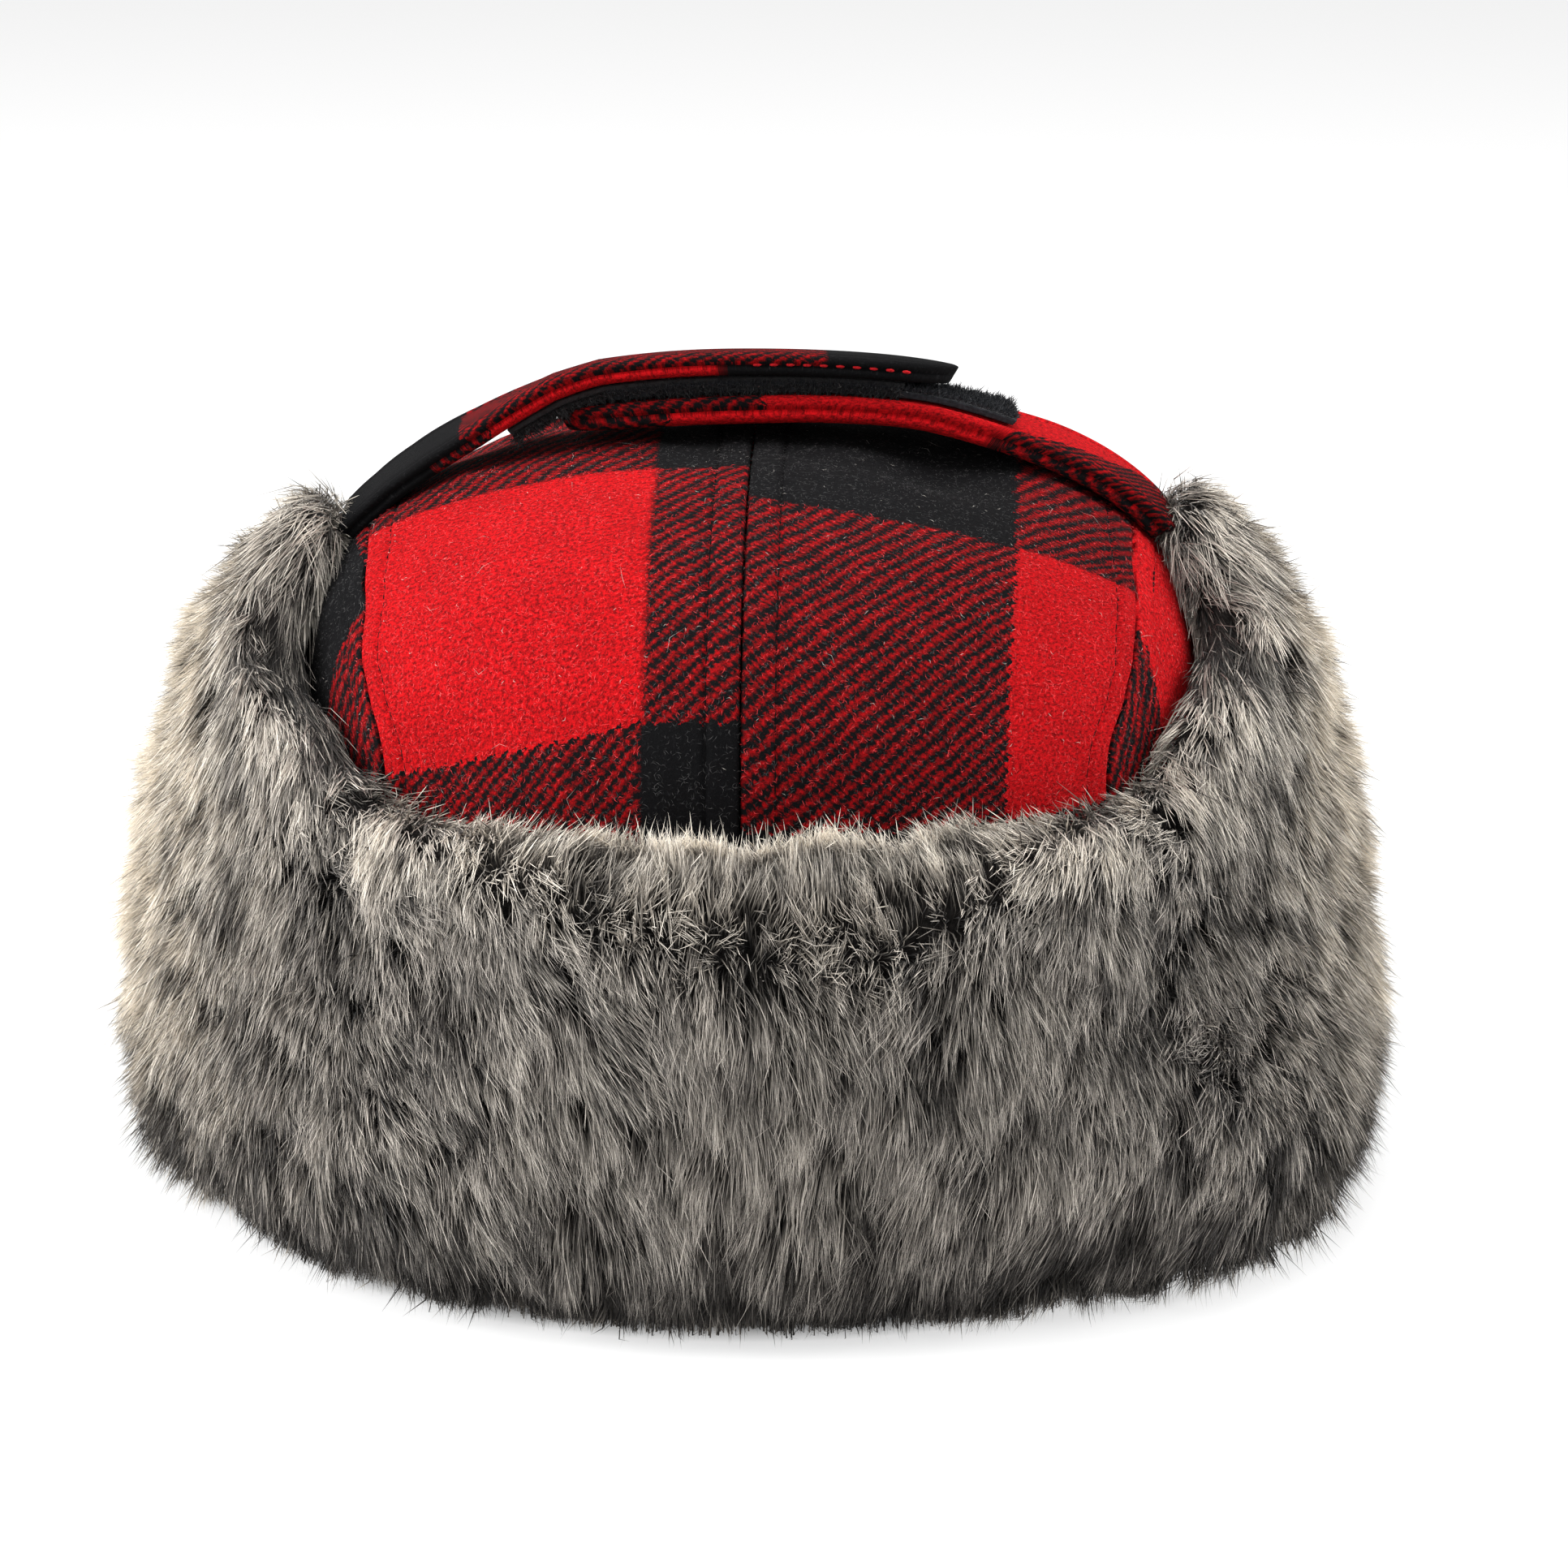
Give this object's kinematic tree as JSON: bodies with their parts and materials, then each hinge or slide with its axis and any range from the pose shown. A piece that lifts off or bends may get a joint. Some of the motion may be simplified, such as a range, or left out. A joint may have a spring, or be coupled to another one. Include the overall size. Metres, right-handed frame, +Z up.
{
  "type": "earflap cap",
  "caption": "Wool earflap cap with deep-pile fur flaps turned up all round and two straps fastened over the crown.",
  "frame": {"origin": "middle of the footprint, on the surface that the cap stands on", "axes": "+Z up, the cap's front faces -Y and its back +Y, the viewer's right (the wearer's left) is +X"},
  "size_m": [0.2528, 0.2708, 0.1566],
  "materials": {
    "crown_wool": "brushed wool twill in a red and black buffalo check",
    "strap_wool": "the crown's wool, doubled and stitched",
    "fur_pile": "deep faux-fur pile, dark at the roots, grey and cream at the tips",
    "loop_tape": "black brushed loop tape",
    "hook_tape": "black hook tape"
  },
  "bodies": {
    "root": {"crown_top_right": "crown_wool", "crown_top_left": "crown_wool", "crown_side_right": "crown_wool", "crown_side_left": "crown_wool", "front_band": "fur_pile", "earflap_right": "fur_pile", "back_band": "fur_pile", "earflap_left": "fur_pile", "strap_lower": "strap_wool", "loop_tape": "loop_tape", "hook_tape": "hook_tape", "strap_upper": "strap_wool"}
  },
  "joints": []
}
